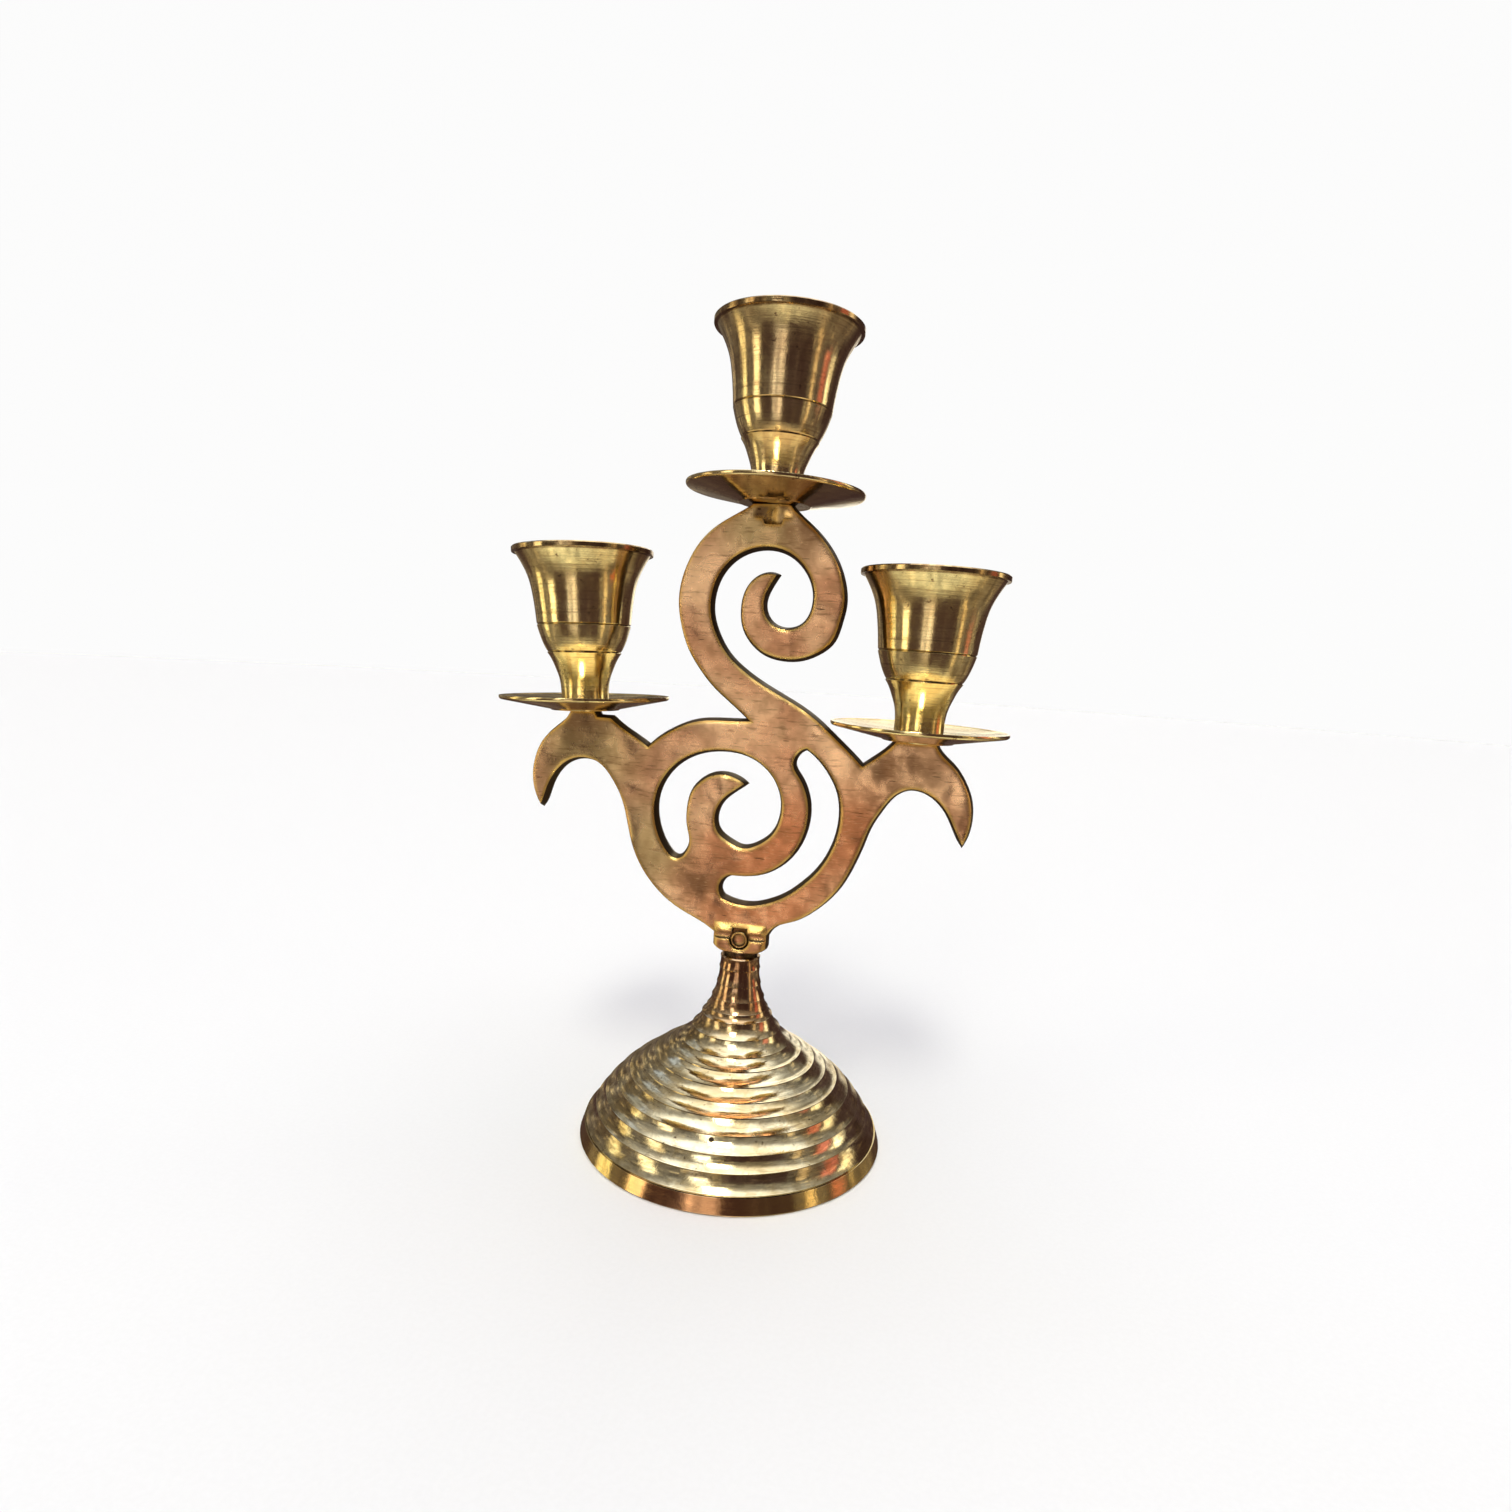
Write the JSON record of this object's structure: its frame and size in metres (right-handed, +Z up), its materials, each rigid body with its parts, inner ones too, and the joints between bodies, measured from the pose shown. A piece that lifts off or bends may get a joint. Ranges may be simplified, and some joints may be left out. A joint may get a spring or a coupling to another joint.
{
  "type": "candelabrum",
  "caption": "Three-light brass candelabrum: flat cast scroll frame on a stepped bell foot, with turned drip pans and flared candle cups.",
  "frame": {"origin": "centre of the foot's rim circle on the table", "axes": "+Z up along the foot's axis; the scroll frame lies in the XZ plane and its front faces -Y"},
  "size_m": [0.1402, 0.088, 0.2218],
  "materials": {
    "foot_brass": "turned and polished, aged to a pale green-gold",
    "frame_brass": "cast, filed and brushed, browned with age",
    "turned_brass": "turned and polished",
    "stud_steel": "dull darkened steel"
  },
  "bodies": {
    "candlestick": {"base": "foot_brass", "scroll_plate": "frame_brass", "knuckle_pin": "frame_brass", "frame_stud": "stud_steel", "stud_washer": "stud_steel", "stud_nut": "stud_steel"},
    "top_drip_pan": {"top_pan": "turned_brass"},
    "top_screw": {"top_stud": "stud_steel"},
    "top_candle_cup": {"top_cup": "turned_brass"},
    "left_drip_pan": {"left_pan": "turned_brass"},
    "left_screw": {"left_stud": "stud_steel"},
    "left_candle_cup": {"left_cup": "turned_brass"},
    "right_drip_pan": {"right_pan": "turned_brass"},
    "right_screw": {"right_stud": "stud_steel"},
    "right_candle_cup": {"right_cup": "turned_brass"}
  },
  "joints": [
    {"name": "top_pan_turn", "type": "hinge", "parent": "candlestick", "child": "top_drip_pan", "pos_m": [0.0017, 0, 0.1778], "axis": [0.0244, 0, 0.9997], "continuous": true},
    {"name": "top_cup_rise", "type": "slide", "parent": "candlestick", "child": "top_screw", "axis": [0.0244, 0, 0.9997], "range_m": [0, 0.007]},
    {"name": "top_cup_turn", "type": "hinge", "parent": "top_screw", "child": "top_candle_cup", "pos_m": [0.0017, 0, 0.1778], "axis": [0.0244, 0, 0.9997], "range_deg": [0, 3600]},
    {"name": "left_pan_turn", "type": "hinge", "parent": "candlestick", "child": "left_drip_pan", "pos_m": [-0.0487, 0, 0.121], "axis": [-0.0436, 0, 0.999], "continuous": true},
    {"name": "left_cup_rise", "type": "slide", "parent": "candlestick", "child": "left_screw", "axis": [-0.0436, 0, 0.999], "range_m": [0, 0.007]},
    {"name": "left_cup_turn", "type": "hinge", "parent": "left_screw", "child": "left_candle_cup", "pos_m": [-0.0487, 0, 0.121], "axis": [-0.0436, 0, 0.999], "range_deg": [0, 3600]},
    {"name": "right_pan_turn", "type": "hinge", "parent": "candlestick", "child": "right_drip_pan", "pos_m": [0.0442, 0, 0.11905], "axis": [0.014, 0, 0.9999], "continuous": true},
    {"name": "right_cup_rise", "type": "slide", "parent": "candlestick", "child": "right_screw", "axis": [0.014, 0, 0.9999], "range_m": [0, 0.007]},
    {"name": "right_cup_turn", "type": "hinge", "parent": "right_screw", "child": "right_candle_cup", "pos_m": [0.0442, 0, 0.11905], "axis": [0.014, 0, 0.9999], "range_deg": [0, 3600]}
  ],
  "couplings": [
    {"joint": "top_cup_turn", "follows": "top_cup_rise", "rad_per_m": 8975.9},
    {"joint": "left_cup_turn", "follows": "left_cup_rise", "rad_per_m": 8975.9},
    {"joint": "right_cup_turn", "follows": "right_cup_rise", "rad_per_m": 8975.9}
  ]
}
